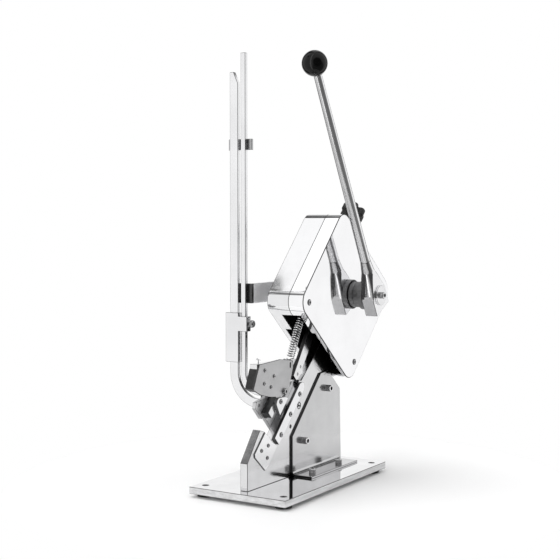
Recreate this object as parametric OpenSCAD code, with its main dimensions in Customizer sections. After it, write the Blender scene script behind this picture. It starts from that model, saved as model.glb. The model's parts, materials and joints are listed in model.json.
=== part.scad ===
// Bench clipping machine: a hand lever drives a punch down a slanting channel and closes a
// U-shaped wire clip round the gathered neck of a bag or casing.
// +Z is up, the operator stands on the -Y side, the lever is on the +X side.
// The origin is the centre of the base's bolt pattern, at the level the feet stand on.

/* [Base] */
// Width of the base plate along X
base_w = 160; // [140:1:200]
// Length of the base plate along Y
base_l = 300; // [260:1:340]
// Thickness of the base plate
base_t = 10; // [8:1:14]
// Height of the rubber feet
foot_h = 5; // [3:0.5:10]
// Outside diameter of the rubber feet
foot_d = 25; // [18:1:30]
// Distance between the base holes along X
bolt_x = 130; // [110:1:140]
// Distance between the base holes along Y
bolt_y = 260; // [230:1:270]
// Diameter of the base holes
bolt_d = 9; // [7:0.5:11]

/* [Frame] */
// Thickness of the jaw plate
jaw_t = 12; // [10:1:16]
// Thickness of the angle brackets
bracket_t = 3; // [2:0.5:6]
// Width of each bracket's foot, measured from the jaw plate
bracket_foot = 35.5; // [30:0.5:45]
// Diameter of the socket screws in the brackets
bolt_m6 = 6; // [5:1:8]

/* [Housing] */
// Outside width of the mechanism housing along X
house_w = 62; // [50:1:80]
// Thickness of the housing sheet
sheet_t = 2.5; // [1.5:0.5:4]
// Outside radius of the housing's corners
corner_r = 22; // [10:1:30]

/* [Drive] */
// Diameter of the lever shaft
shaft_d = 16; // [12:1:20]
// Tooth size: pitch diameter divided by the number of teeth
tooth_module = 3.6; // [3:0.1:4]
// Number of teeth on the pinion
pinion_teeth = 20; // [18:1:24]
// Gap left between meshing teeth
backlash = 0.35; // [0.2:0.05:0.6]

/* [Lever] */
// Angle between the resting lever and the vertical
lever_lean = 28.8; // [15:0.1:40]
// Distance from the shaft to the centre of the ball
lever_len = 384.5; // [300:0.5:450]
// Diameter of the ball
ball_d = 37; // [30:1:45]
// Diameter of the bearing boss on the lever side
boss_d = 46; // [40:1:60]

/* [Magazine] */
// Height of the top of the inner rail above the table
rail_top = 634; // [560:1:660]
// Width of the outer rail
outer_rail_w = 14; // [10:0.5:18]
// Width of the inner rail
inner_rail_w = 8; // [6:0.5:10]
// Thickness of both rails
rail_t = 6; // [4:0.5:8]

/* [Hidden] */
$fn = 48;

base_top = foot_h + base_t;
eps = 0.1;

// The drive line: a slanting frame whose +Y climbs the punch channel away from the die and
// whose +Z points out of the channel, up and forward. Its origin is the top of the die.
die_y = -80;
die_z = 85;
slope = 45;
// a point of the drive line, given along and out of the channel, as [Y, Z] of the part
function yz(along, out) = [die_y + (along - out) * cos(slope), die_z + (along + out) * sin(slope)];

// The jaw plate's two faces; everything that bolts to it is measured from them.
jaw_x0 = -4;
jaw_x1 = jaw_x0 + jaw_t;
jaw_mid = (jaw_x0 + jaw_x1) / 2;

channel_floor = -12.5;
neck_gap = 22;
punch_rest = 67;
punch_t = 6;
split_x = jaw_x0 + punch_t;

// The lever shaft and the gear on it
pinion_r = tooth_module * pinion_teeth / 2;
shaft_along = 296;
shaft_out = -28;
shaft = yz(shaft_along, shaft_out);
rack_pitch = shaft_out + pinion_r;

half_w = house_w / 2;
// Centres of the housing's rounded corners as [Y, Z]: left, top, right, bottom
corners = [[1, 272], [102, 378], [231, 275], [122, 168]];
// Where the two sheet-metal halves of the housing meet
seam_x = 6;

boss_end = half_w + 17;
block_x0 = boss_end + 0.4;
block_t = 20;
block_x1 = block_x0 + block_t;
block_w = 45;
block_low = -25;
block_high = 62;
neck_z = 42;
neck_r = 8;
lever_x = (block_x0 + block_x1) / 2;

outer_x0 = -80;
outer_x1 = outer_x0 + outer_rail_w;
inner_x0 = -61;
inner_x1 = inner_x0 + inner_rail_w;
rail_y0 = -45;
rail_y1 = rail_y0 + rail_t;
bend_x = -30;
bend_z = 166;
guide_back_x = -10;

rocker_pivot_yz = [-41.5, 144];
rocker_x0 = 9;
rocker_x1 = 12;
spring_x = 2.8;
spring_low = [-11.1, 187.7];
spring_high = [21, 248.5];

SPRING_R = 5.2;
SPRING_WIRE = 0.9;
SPRING_TURNS = 17;

// ---- helpers -------------------------------------------------------------------------------

// Children are drawn in the Y-Z plane and stand from x0 to x1
module slab(x0, x1) {
    translate([x0, 0, 0]) rotate([90, 0, 90]) linear_extrude(x1 - x0) children();
}

// A round bar along X from x0 to x1 at the point p = [Y, Z]
module bar_x(x0, x1, p, d) {
    translate([x0, p[0], p[1]]) rotate([0, 90, 0]) cylinder(h = x1 - x0, d = d);
}

// Children use the drive line's own axes
module drive_frame() {
    translate([0, die_y, die_z]) rotate([slope, 0, 0]) children();
}

// A box in the drive line's axes
module drive_box(x, along, out) {
    drive_frame() translate([x[0], along[0], out[0]])
        cube([x[1] - x[0], along[1] - along[0], out[1] - out[0]]);
}

// A plate in the drive line's axes, its outline given as [along, out] points
module drive_plate(x0, x1, outline) {
    slab(x0, x1) polygon([for (p = outline) yz(p[0], p[1])]);
}

// Children stand in the resting lever's axes: +Z runs from the shaft to the ball
module lever_frame() {
    translate([lever_x, shaft[0], shaft[1]]) rotate([lever_lean, 0, 0]) children();
}

// A socket-head screw along X with its head's seat at x, pointing towards -X (dir = 1)
module cap_screw(x, p, d, length, dir = 1) {
    head_d = d * 5 / 3;
    difference() {
        union() {
            bar_x(min(x, x - dir * length), max(x, x - dir * length), p, d);
            bar_x(min(x, x + dir * d), max(x, x + dir * d), p, head_d);
        }
        hex_x0 = dir > 0 ? x + d * 0.45 : x - d - eps;
        translate([hex_x0, p[0], p[1]]) rotate([0, 90, 0]) cylinder(h = d * 0.55 + eps, d = d * 0.85, $fn = 6);
    }
}

// A small button-head screw whose head stands on the face at x
module small_screw(x, p, d, length, dir = 1) {
    head_h = 1.4;
    difference() {
        union() {
            bar_x(min(x, x - dir * length), max(x, x - dir * length), p, d);
            bar_x(min(x, x + dir * head_h), max(x, x + dir * head_h), p, d * 1.9);
        }
        hex_x0 = dir > 0 ? x + 0.4 : x - head_h - eps;
        translate([hex_x0, p[0], p[1]]) rotate([0, 90, 0]) cylinder(h = 1 + eps, d = d * 0.8, $fn = 6);
    }
}

// ---- base ----------------------------------------------------------------------------------

base_corner = 2;
foot_pts = [for (x = [-1, 1], y = [-1, 1]) [x * bolt_x / 2, y * bolt_y / 2]];
foot_screw_x = 27;
foot_screw_y = [10, 90];

module base_plate() {
    color("silver") difference() {
        union() {
            translate([-base_w / 2 + base_corner, -base_l / 2, foot_h])
                cube([base_w - 2 * base_corner, base_l, base_t]);
            translate([-base_w / 2, -base_l / 2 + base_corner, foot_h])
                cube([base_w, base_l - 2 * base_corner, base_t]);
            for (x = [-1, 1], y = [-1, 1])
                translate([x * (base_w / 2 - base_corner), y * (base_l / 2 - base_corner), foot_h])
                    cylinder(h = base_t, r = base_corner);
        }
        for (p = foot_pts) translate([p[0], p[1], foot_h - 1]) cylinder(h = base_t + 2, d = bolt_d);
        for (side = [-1, 1], y = foot_screw_y)
            translate([jaw_mid + side * foot_screw_x, y, foot_h - 1]) cylinder(h = base_t + 2, d = bolt_m6);
    }
}

module rubber_feet() {
    color("dimgray") for (p = foot_pts) translate([p[0], p[1], 0]) difference() {
        cylinder(h = foot_h, d = foot_d);
        translate([0, 0, -1]) cylinder(h = foot_h + 2, d = bolt_d);
    }
}

// ---- angle brackets ------------------------------------------------------------------------

leg_outline = [[-17, base_top], [-17, 74], [66, 158], [90, 160], [104, 147], [126, 128],
               [130, base_top]];
leg_holes = [[83.5, 133.4], [12.4, 63.8]];
flange_y0 = -17;
flange_y1 = 124;
// outside radius of the bend between leg and foot
bend_r = 8;

// A round bar of radius r through the centre of a bracket's bend
module bend_bar(side, r) {
    translate([(side > 0 ? jaw_x1 : jaw_x0) + side * bend_r, flange_y0 - 5, base_top + bend_r])
        rotate([-90, 0, 0]) cylinder(h = 160, r = r);
}

// side = 1 is the lever side, side = -1 its mirror image on the other face of the jaw plate
module bracket(side) {
    face = side > 0 ? jaw_x1 : jaw_x0 - bracket_t;
    foot_x0 = side > 0 ? jaw_x1 + bracket_t - eps : jaw_x0 - bracket_foot;
    fillet = bend_r - bracket_t;
    difference() {
        union() {
            slab(face, face + bracket_t) polygon(leg_outline);
            translate([foot_x0, flange_y0, base_top])
                cube([bracket_foot - bracket_t + eps, flange_y1 - flange_y0, bracket_t]);
            difference() {
                translate([side > 0 ? jaw_x1 + bracket_t - eps : jaw_x0 - bend_r, flange_y0,
                           base_top + bracket_t - eps])
                    cube([fillet + eps, flange_y1 - flange_y0, fillet + eps]);
                bend_bar(side, fillet);
            }
        }
        difference() {
            translate([side > 0 ? jaw_x1 - 1 : jaw_x0 - bend_r, flange_y0 - 4, base_top - 1])
                cube([bend_r + 1, 158, bend_r + 1]);
            bend_bar(side, bend_r);
        }
        for (p = leg_holes) bar_x(face - 1, face + bracket_t + 1, p, bolt_m6);
        for (y = foot_screw_y) translate([jaw_mid + side * foot_screw_x, y, base_top - 1])
            cylinder(h = bracket_t + 2, d = bolt_m6);
    }
}

module bracket_right() { color("lightgray") bracket(1); }
module bracket_left() { color("lightgray") bracket(-1); }

module foot_screws() {
    color("silver") for (side = [-1, 1], y = foot_screw_y)
        translate([jaw_mid + side * foot_screw_x, y, 0]) difference() {
            union() {
                translate([0, 0, foot_h + 1]) cylinder(h = base_t + bracket_t - 1, d = bolt_m6);
                translate([0, 0, base_top + bracket_t]) cylinder(h = 6, d = 10);
            }
            translate([0, 0, base_top + bracket_t + 3]) cylinder(h = 4, d = 5, $fn = 6);
        }
}

module leg_screws() {
    color("silver") for (p = leg_holes) {
        difference() {
            union() {
                bar_x(jaw_x0 - bracket_t - 6, jaw_x1 + bracket_t, p, bolt_m6);
                bar_x(jaw_x1 + bracket_t, jaw_x1 + bracket_t + 9, p, 10);
            }
            translate([jaw_x1 + bracket_t + 5, p[0], p[1]]) rotate([0, 90, 0]) cylinder(h = 5, d = 5, $fn = 6);
        }
        nut_x = jaw_x0 - bracket_t - 5;
        difference() {
            translate([nut_x, p[0], p[1]]) rotate([0, 90, 0]) cylinder(h = 5, d = 11.5, $fn = 6);
            bar_x(nut_x - 1, nut_x + 6, p, bolt_m6);
        }
    }
}

// ---- jaw -----------------------------------------------------------------------------------

die_depth = 22;
die_front = 10.5;
cover_t = 1.5;
die_screw_pts = [[-10.5, -8.9], [-26.2, 0.3], [-24.5, -19.2]];
strip_screw_along = [19, 56, 93];
strip_screw_out = -23;
jaw_hole_small = yz(46.5, -40.9);
jaw_hole_sunk = yz(83.2, -38.5);
tie_pts = [[-3.2, 271.2], [146, 358], [229, 275], [136, 169.5]];
tie_d = 5;

module jaw_plate() {
    finger = [[-132.7, base_top], [-132.7, 54], [-100.7, 95.9], yz(-6.8, 22.3), yz(-2, 13),
              yz(-2, die_front), yz(-die_depth, die_front), yz(-die_depth, channel_floor)];
    spine = [yz(111, channel_floor), yz(114, -17.5), yz(169, -22), yz(231, -22)];
    heel = [[150, 183], [146, 167], [114, 156], [106.4, 158], [103, 153], [100, base_top]];
    color("lightgray") difference() {
        slab(jaw_x0, jaw_x1) polygon(concat(finger, spine, heel));
        for (p = leg_holes) bar_x(jaw_x0 - 1, jaw_x1 + 1, p, bolt_m6);
        for (a = strip_screw_along) bar_x(jaw_x0 - 1, jaw_x1 + 1, yz(a, strip_screw_out), 4);
        for (p = die_screw_pts) if (p[0] < -die_depth || p[1] < channel_floor)
            bar_x(jaw_x0 + 2, jaw_x1 + 1, yz(p[0], p[1]), 3);
        bar_x(jaw_x0 - 1, jaw_x1 + 1, jaw_hole_small, 5);
        bar_x(jaw_x0 - 1, jaw_x1 + 1, jaw_hole_sunk, 5);
        translate([jaw_x1 - 2.5, jaw_hole_sunk[0], jaw_hole_sunk[1]]) rotate([0, 90, 0])
            cylinder(h = 2.6, d1 = 5, d2 = 10);
        bar_x(jaw_x0 - 1, jaw_x1 + 1, tie_pts[3], tie_d);
    }
}

// The hardened die: two half-round troughs curl the clip's legs
module die() {
    color("gray") difference() {
        drive_box([jaw_x0, jaw_x1], [-die_depth, -1], [channel_floor, die_front]);
        for (out = [-6, 4]) drive_frame() translate([jaw_mid, -1, out]) scale([0.5, 1, 1]) sphere(d = 9, $fn = 24);
        bar_x(jaw_x1 - 9, jaw_x1 + 1, yz(die_screw_pts[0][0], die_screw_pts[0][1]), 3);
    }
}

module die_cover() {
    outline = [[-2, die_front], [-40, 11], [-43, 7], [-40.5, -28], [-31.5, -29.7], [4, -29], [-1, -12.6], [-1, 1]];
    color("lightgray") difference() {
        drive_plate(jaw_x1, jaw_x1 + cover_t, outline);
        for (p = die_screw_pts) bar_x(jaw_x1 - 1, jaw_x1 + 4, yz(p[0], p[1]), 3);
    }
}

module die_cover_screws() {
    color("silver") for (p = die_screw_pts) small_screw(jaw_x1 + cover_t, yz(p[0], p[1]), 3, 6.5);
}

// ---- punch channel -------------------------------------------------------------------------

strip_outline = [[5, -12.6], [105, -12.6], [110, -16], [112, -20.5], [110, -25], [105, -28], [5, -28]];

module guide_strip() {
    color("lightgray") difference() {
        drive_plate(jaw_x1, jaw_x1 + 4, strip_outline);
        for (a = strip_screw_along) bar_x(jaw_x1 - 1, jaw_x1 + 5, yz(a, strip_screw_out), 4);
    }
}

module guide_strip_screws() {
    color("silver") for (a = strip_screw_along)
        small_screw(jaw_x1 + 4, yz(a, strip_screw_out), 4, jaw_t + 4 + 6);
}

clip_window = [[50, 66], [-4, 9]];

// The far wall of the channel, with the window that clips come through
module guide_back() {
    outline = [[neck_gap + 2, -28], [neck_gap + 2, 10], [neck_gap - 4, 14], [neck_gap - 4, 37], [neck_gap + 4, 42],
               [42, 30], [70, 25], [97, 22], [112, 9], [112, -28]];
    color("darkgray") difference() {
        drive_plate(guide_back_x, jaw_x0, outline);
        for (a = strip_screw_along) bar_x(guide_back_x - 1, jaw_x0 + 1, yz(a, strip_screw_out), 4);
        drive_box([guide_back_x - 1, jaw_x0 + 1], clip_window[0], clip_window[1]);
        for (p = [[25, 20], [27, 34]]) bar_x(guide_back_x - 1, jaw_x0 + 1, yz(p[0], p[1]), 4);
        bar_x(guide_back_x - 1, jaw_x0 + 1, yz(30, 15), 4);
    }
}

// The near wall of the channel, stepped to leave room for the driver bar
module guide_front() {
    color("silver") difference() {
        union() {
            drive_plate(jaw_x0, split_x - 0.3, [[neck_gap + 1, 9.5], [neck_gap + 1, 22], [96, 22], [96, 9.5]]);
            drive_plate(split_x - 0.4, jaw_x1 + 0.3, [[24, 9.5], [24, 22], [90, 22], [90, 16], [51, 9.5]]);
        }
        bar_x(jaw_x0 + 1, jaw_x1 + 1, rocker_pivot_yz, 4);
        bar_x(jaw_x0 + 1, jaw_x1 + 1, yz(51.5, 13), 4);
        bar_x(jaw_x0 - 1, jaw_x0 + 4, yz(30, 15), 4);
    }
}

module clip_cover() {
    color("white") difference() {
        drive_plate(jaw_x1 + 0.3, jaw_x1 + 5, [[36, 0.5], [41, 19.5], [46, 22], [51, 21.5], [64, 8], [68, 0.5]]);
        bar_x(jaw_x1, jaw_x1 + 6, yz(51.5, 13), 4);
    }
}

module clip_cover_screw() {
    color("silver") small_screw(jaw_x1 + 5, yz(51.5, 13), 4, 14);
}

// The catch and the stop that meet the clips at the end of the rails
module clip_gate() {
    color("dimgray") translate([guide_back_x - 12, rail_y0 - 7.2, 132]) difference() {
        cube([12, 7, 10]);
        translate([-1, 3.5, 5]) rotate([0, 90, 0]) cylinder(h = 8, d = 2.5);
    }
}

module clip_stop() {
    color("white") translate([guide_back_x - 11, rail_y0 - 7.2, 119]) cube([11, 7, 11]);
}

// ---- rocker --------------------------------------------------------------------------------

rocker_holes = [[-94.1, 180.2], [-69.8, 169.4], [-95.5, 161.6], [-78, 154.7]];
rocker_slot = [-25.1, 180.5];
pad_pin_at = [3, -97, 189.7];

module rocker_plate() {
    outline = [[-107.3, 189.5], [-50.5, 191.5], [-16.5, 186], [-17.9, 175.4], [-25.1, 156.8],
               [-30.5, 139], [-50, 138.3], [-64, 139], [-78, 140.5], [-92, 143.4], [-104.8, 146.9],
               [-123, 155.7]];
    color("darkgray") difference() {
        slab(rocker_x0, rocker_x1) polygon(outline);
        bar_x(rocker_x0 - 1, rocker_x1 + 1, rocker_pivot_yz, 6.1);
        for (p = rocker_holes) bar_x(rocker_x0 - 1, rocker_x1 + 1, p, 3);
        for (dz = [-2.5, 2.5]) bar_x(rocker_x0 - 1, rocker_x1 + 1, rocker_slot + [0, dz], 3);
        translate([rocker_x0 - 1, rocker_slot[0] - 1.5, rocker_slot[1] - 2.5]) cube([5, 3, 5]);
        bar_x(rocker_x0 - 1, rocker_x1 + 1, spring_low + [-8, -2], 3);
    }
}

module rocker_block() {
    color("silver") difference() {
        slab(-3, rocker_x0) polygon([[-109.5, 183], [-109.5, 190], [-62, 189], [-66, 148], [-104, 151.5], [-102.1, 183]]);
        for (p = rocker_holes) bar_x(1, rocker_x0 + 1, p, 3);
        translate([pad_pin_at[0], pad_pin_at[1], pad_pin_at[2]]) cylinder(h = 4, d = 1.8);
    }
}

module rocker_pad() {
    color("dimgray") slab(-4, rocker_x0) polygon([[-109.5, 182.9], [-102.3, 182.9], [-104.4, 151], [-110, 151], [-121, 156]]);
}

// The wire catch that stands on the block
module pad_pin() {
    color("silver") {
        translate([pad_pin_at[0], pad_pin_at[1], pad_pin_at[2]]) cylinder(h = 6.5, d = 1.8);
        bar_x(pad_pin_at[0] - 3.5, pad_pin_at[0] + 3.5, [pad_pin_at[1], pad_pin_at[2] + 7], 1.8);
    }
}

module rocker_screws() {
    color("silver") for (p = rocker_holes) small_screw(rocker_x1, p, 3, 9);
}

module rocker_pivot() {
    color("silver") difference() {
        union() {
            bar_x(jaw_x0 + 1, jaw_x1 + 0.3, rocker_pivot_yz, 4);
            bar_x(jaw_x1 + 0.3, rocker_x1 + 0.2, rocker_pivot_yz, 6);
            bar_x(rocker_x1 + 0.2, rocker_x1 + 3.4, rocker_pivot_yz, 10);
        }
        translate([rocker_x1 + 1.6, rocker_pivot_yz[0], rocker_pivot_yz[1]]) rotate([0, 90, 0])
            cylinder(h = 3, d = 4, $fn = 6);
    }
}

// The lug behind the rocker that the spring's lower end hooks on
module spring_post() {
    color("silver") {
        bar_x(-3, rocker_x0, spring_low + [-8, -2], 5);
        bar_x(rocker_x0, rocker_x1, spring_low + [-8, -2], 3);
    }
}

// The spring is a stack of rings, which is how its close coils look and weigh
module rocker_spring() {
    run = spring_high - spring_low;
    len = norm(run);
    tilt = atan2(run[1], run[0]) - 90;
    color("silver") translate([spring_x, spring_low[0], spring_low[1]]) rotate([tilt, 0, 0]) {
        for (i = [0 : SPRING_TURNS]) translate([0, 0, 2 + i * (len - 6) / SPRING_TURNS])
            rotate_extrude($fn = 24) translate([SPRING_R, 0]) circle(r = SPRING_WIRE, $fn = 8);
    }
}

// The hook inside the housing's corner that holds the spring's upper end
module spring_hook() {
    color("silver") {
        bar_x(-half_w + sheet_t, half_w - sheet_t, spring_high + [4, 7], 5);
    }
}

// ---- housing -------------------------------------------------------------------------------

// The housing's outline as flat bends: four corners of CORNER_STEPS facets each, at radius r
CORNER_STEPS = 10;
function edge_angle(i) = let (e = corners[(i + 1) % 4] - corners[i % 4]) atan2(e[0], -e[1]);
function corner_arc(i, r) = let (a0 = edge_angle(i + 3), sweep = (a0 - edge_angle(i) + 720) % 360)
    [for (k = [0 : CORNER_STEPS]) let (a = a0 - sweep * k / CORNER_STEPS) corners[i] + r * [cos(a), sin(a)]];

module quad_slab(x0, x1, r) {
    slab(x0, x1) polygon([for (i = [0 : 3], p = corner_arc(i, r)) p]);
}

// One bent half: a side plate at plate_x0..plate_x1 and the rim from rim_x0 to rim_x1. Its open
// lower face keeps a flange that is wide down to the step and narrow below it.
module housing_half(plate_x0, plate_x1, rim_x0, rim_x1, wide_open, low_open, step_at) {
    lower_run = corners[3] - corners[0];
    open_angle = atan2(lower_run[1], lower_run[0]);
    difference() {
        quad_slab(min(plate_x0, rim_x0), max(plate_x1, rim_x1), corner_r);
        quad_slab(rim_x0 - eps, rim_x1 + eps, corner_r - sheet_t);
        translate([0, corners[0][0], corners[0][1]]) rotate([open_angle, 0, 0]) {
            translate([wide_open[0], 6, -corner_r - 5])
                cube([wide_open[1] - wide_open[0], norm(lower_run) - 8, 12]);
            translate([low_open[0], step_at, -corner_r - 5])
                cube([low_open[1] - low_open[0], norm(lower_run) - 2 - step_at, 12]);
        }
        bar_x(plate_x0 - 1, plate_x1 + 1, shaft, 30);
        for (p = tie_pts) bar_x(plate_x0 - 1, plate_x1 + 1, p, tie_d);
    }
}

module housing_right() {
    color("whitesmoke") difference() {
        housing_half(half_w - sheet_t, half_w, seam_x + 0.1, half_w - sheet_t,
                     [seam_x, 19.3], [seam_x, 24.6], 49.5);
        adjuster_hole();
    }
}

module housing_left() {
    color("whitesmoke") difference() {
        housing_half(-half_w, -half_w + sheet_t, -half_w + sheet_t, seam_x - 0.1,
                     [-12, seam_x], [-22.4, seam_x], 42.5);
        for (p = arm_bolts) bar_x(-half_w - 1, -half_w + sheet_t + 1, p, 5);
        for (p = guide_rail_bolts) bar_x(-half_w - 1, -half_w + sheet_t + 1, p, 4);
    }
}

module tie_tubes() {
    color("gray") {
        for (i = [0 : 2]) difference() {
            bar_x(-half_w + sheet_t, half_w - sheet_t, tie_pts[i], 10);
            bar_x(-half_w, half_w, tie_pts[i], tie_d);
        }
        for (x = [[-half_w + sheet_t, jaw_x0], [jaw_x1, half_w - sheet_t]]) difference() {
            bar_x(x[0], x[1], tie_pts[3], 10);
            bar_x(x[0] - 1, x[1] + 1, tie_pts[3], tie_d);
        }
    }
}

module housing_screws() {
    color("silver") {
        for (i = [0 : 2]) {
            small_screw(half_w, tie_pts[i], tie_d, 16);
            small_screw(-half_w, tie_pts[i], tie_d, 16, -1);
        }
        small_screw(half_w, tie_pts[3], tie_d, house_w / 2 - jaw_mid);
        small_screw(-half_w, tie_pts[3], tie_d, house_w / 2 + jaw_mid - 0.2, -1);
    }
}

// ---- shaft and gear ------------------------------------------------------------------------

shaft_bore = shaft_d + 0.1;

module bearing_boss() {
    color("gray") difference() {
        union() {
            bar_x(half_w, half_w + 8.5, shaft, boss_d - 6);
            bar_x(half_w + 8.4, boss_end, shaft, boss_d);
            bar_x(half_w - sheet_t - 5, half_w, shaft, 30);
        }
        bar_x(0, boss_end + 1, shaft, shaft_bore);
    }
}

module bearing_left() {
    color("gray") difference() {
        union() {
            bar_x(-half_w - 5, -half_w, shaft, 40);
            bar_x(-half_w, -half_w + sheet_t + 5, shaft, 30);
        }
        bar_x(-half_w - 6, 0, shaft, shaft_bore);
    }
}

collar_x1 = -half_w - 5.4;
collar_x0 = collar_x1 - 9;

module lever_shaft() {
    color("silver") difference() {
        bar_x(collar_x0 - 2, block_x1 - 0.5, shaft, shaft_d);
        bar_x(block_x1 - 18, block_x1, shaft, bolt_m6);
    }
}

module shaft_collar() {
    color("gray") difference() {
        bar_x(collar_x0, collar_x1, shaft, 28);
        bar_x(collar_x0 - 1, collar_x1 + 1, shaft, shaft_d);
        translate([(collar_x0 + collar_x1) / 2, shaft[0], shaft[1]]) cylinder(h = 20, d = 4);
    }
}

PRESSURE = 20;
tooth_top = tooth_module;
tooth_root = tooth_module * 1.25;
// involute: the point of a circle's unwinding string at the radius r, as an angle in degrees
base_r = pinion_r * cos(PRESSURE);
function unwind(r) = let (t = sqrt(max(0, pow(r / base_r, 2) - 1))) t * 180 / PI - atan(t);
half_tooth = 90 / pinion_teeth - (backlash / 2) / pinion_r * 180 / PI / 2;
function flank(r) = half_tooth + unwind(pinion_r) - unwind(r);
flank_r = [for (i = [0 : 5]) max(base_r, pinion_r - tooth_root + 0.6) + i * (pinion_r + tooth_top - base_r) / 5];
function polar(r, a) = [r * cos(a), r * sin(a)];

// One tooth pointing along the angle a
function tooth(a) = concat(
    [polar(pinion_r - tooth_root - 0.5, a - half_tooth - 2.2)],
    [for (r = flank_r) polar(r, a - flank(r))],
    [for (i = [5 : -1 : 0]) polar(flank_r[i], a + flank(flank_r[i]))],
    [polar(pinion_r - tooth_root - 0.5, a + half_tooth + 2.2)]);

// At rest one tooth gap of the pinion faces the rack, square to the drive line
mesh_angle = 90 + slope + 180 / pinion_teeth;
gear_x0 = jaw_x0 + 0.5;
gear_x1 = jaw_x1 - 0.5;

module pinion() {
    color("gray") difference() {
        union() {
            bar_x(gear_x0, gear_x1, shaft, 2 * (pinion_r - tooth_root));
            bar_x(gear_x1, gear_x1 + 9, shaft, 30);
            translate([gear_x0, shaft[0], shaft[1]]) rotate([90, 0, 90]) linear_extrude(gear_x1 - gear_x0)
                for (i = [0 : pinion_teeth - 1]) polygon(tooth(mesh_angle + i * 360 / pinion_teeth));
        }
        bar_x(gear_x0 - 1, gear_x1 + 10, shaft, shaft_d);
    }
}

// ---- driver --------------------------------------------------------------------------------

tooth_pitch = PI * tooth_module;
rack_low = 231;
rack_high = 356;
rack_back = 26;
joint_high = 253;
// half width of a rack tooth at its pitch line, and what the slanted flank adds per height
rack_half = tooth_pitch / 4 - backlash / 4;
rack_first = -1;
rack_last = 5;

module rack() {
    bed = rack_pitch + tooth_root;
    color("gray") difference() {
        union() {
            drive_plate(jaw_x0, jaw_x1, [[rack_low, bed], [rack_low, rack_back], [rack_high, rack_back], [rack_high, bed]]);
            for (i = [rack_first : rack_last]) {
                at = shaft_along + i * tooth_pitch;
                drive_plate(jaw_x0, jaw_x1, [
                    [at - rack_half - tooth_root * tan(PRESSURE), bed + eps],
                    [at - rack_half + tooth_top * tan(PRESSURE), rack_pitch - tooth_top],
                    [at + rack_half - tooth_top * tan(PRESSURE), rack_pitch - tooth_top],
                    [at + rack_half + tooth_root * tan(PRESSURE), bed + eps]]);
            }
        }
        drive_box([split_x, jaw_x1 + 1], [rack_low - 1, joint_high], [rack_pitch - 5, rack_back + 1]);
        for (a = driver_screw_along) bar_x(jaw_x0 + 1, jaw_x1 + 1, yz(a, driver_screw_out), 4);
    }
}

driver_screw_along = [237, 247];
driver_screw_out = 15.5;
bar_low = 105;
bar_rise = 0.19;
bar_wide = 14.3;
bar_start = -9.6;

// The flat bar that joins the rack to the punch
module driver_bar() {
    bar_end = bar_start + bar_rise * (joint_high - bar_low);
    color("whitesmoke") difference() {
        drive_plate(split_x, jaw_x1, [[bar_low + 4, bar_start + 0.5], [bar_low, bar_start + 4], [bar_low, bar_start + bar_wide],
                                      [joint_high, min(bar_end + bar_wide, rack_back + 4)], [joint_high, 9]]);
        for (a = driver_screw_along) bar_x(split_x - 1, jaw_x1 + 1, yz(a, driver_screw_out), 4);
        bar_x(split_x - 1, jaw_x1 + 1, yz(127, -1.5), 4);
        bar_x(split_x - 1, jaw_x1 + 1, yz(114, -2.5), 4);
    }
}

module driver_screws() {
    color("silver") for (a = driver_screw_along) small_screw(jaw_x1, yz(a, driver_screw_out), 4, 10);
}

// The punch itself: its hollow tip closes over the clip's crown
module punch() {
    color("silver") difference() {
        drive_plate(jaw_x0 + 0.2, split_x, [[punch_rest, -12.2], [punch_rest, 9.2], [133, 9.2], [133, -12.2]]);
        drive_frame() translate([jaw_mid - 4, punch_rest - 2, -1.5]) rotate([0, 0, 0]) scale([1, 0.6, 1]) sphere(d = 12, $fn = 24);
        for (p = [[127, -1.5], [114, -2.5]]) bar_x(jaw_x0, split_x + 1, yz(p[0], p[1]), 4);
    }
}

module punch_pin() {
    color("silver") for (p = [[127, -1.5], [114, -2.5]]) bar_x(jaw_x0 + 0.3, jaw_x1 + 0.2, yz(p[0], p[1]), 4);
}

guide_rail_bolts = [yz(286, 29), yz(306, 29)];

// The fixed rail that backs the rack against the push of the pinion
module rack_guide() {
    color("gray") difference() {
        drive_box([-half_w + sheet_t, jaw_x1 + 3], [278, 314], [rack_back + 0.2, rack_back + 13]);
        for (p = guide_rail_bolts) bar_x(-half_w, -half_w + 12, p, 4);
    }
}

// ---- lever ---------------------------------------------------------------------------------

// A flat block at the shaft, turned to a cone above it down to the width of the rod
module lever_block() {
    corner = norm([block_t / 2, block_w / 2]) + 0.2;
    color("silver") difference() {
        lever_frame() intersection() {
            translate([-block_t / 2, -block_w / 2, block_low]) cube([block_t, block_w, block_high - block_low]);
            union() {
                translate([0, 0, block_low]) cylinder(h = eps - block_low, r = corner + 6);
                cylinder(h = neck_z, r1 = corner, r2 = neck_r + 2.6);
                translate([0, 0, neck_z]) cylinder(h = block_high - neck_z, r1 = neck_r + 2.6, r2 = neck_r);
            }
        }
        bar_x(block_x0 - 1, block_x1 + 1, shaft, shaft_d);
    }
}

module lever_rod() {
    color("silver") lever_frame() translate([0, 0, block_high])
        cylinder(h = lever_len - 12 - block_high, r1 = neck_r, r2 = 6);
}

module lever_knob() {
    color("black") lever_frame() translate([0, 0, lever_len]) difference() {
        sphere(d = ball_d);
        translate([0, 0, -ball_d]) cylinder(h = ball_d - 12, d = 12.2);
        translate([0, 0, -ball_d / 2 - 4]) cylinder(h = 4.8, d = 40);
    }
}

module lever_washer() {
    color("silver") difference() {
        bar_x(block_x1, block_x1 + 3, shaft, 31);
        bar_x(block_x1 - 1, block_x1 + 4, shaft, bolt_m6);
    }
}

module lever_screw() {
    color("silver") cap_screw(block_x1 + 3, shaft, bolt_m6, 18);
}

// ---- pressure adjuster ---------------------------------------------------------------------

adjuster_x = 20;
adjuster_out = 62;
adjuster_low = 352;
adjuster_face = 366.5;

module adjuster_hole() {
    drive_frame() translate([adjuster_x, adjuster_low + 4, adjuster_out]) rotate([-90, 0, 0]) cylinder(h = 40, d = 9);
}

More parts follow.
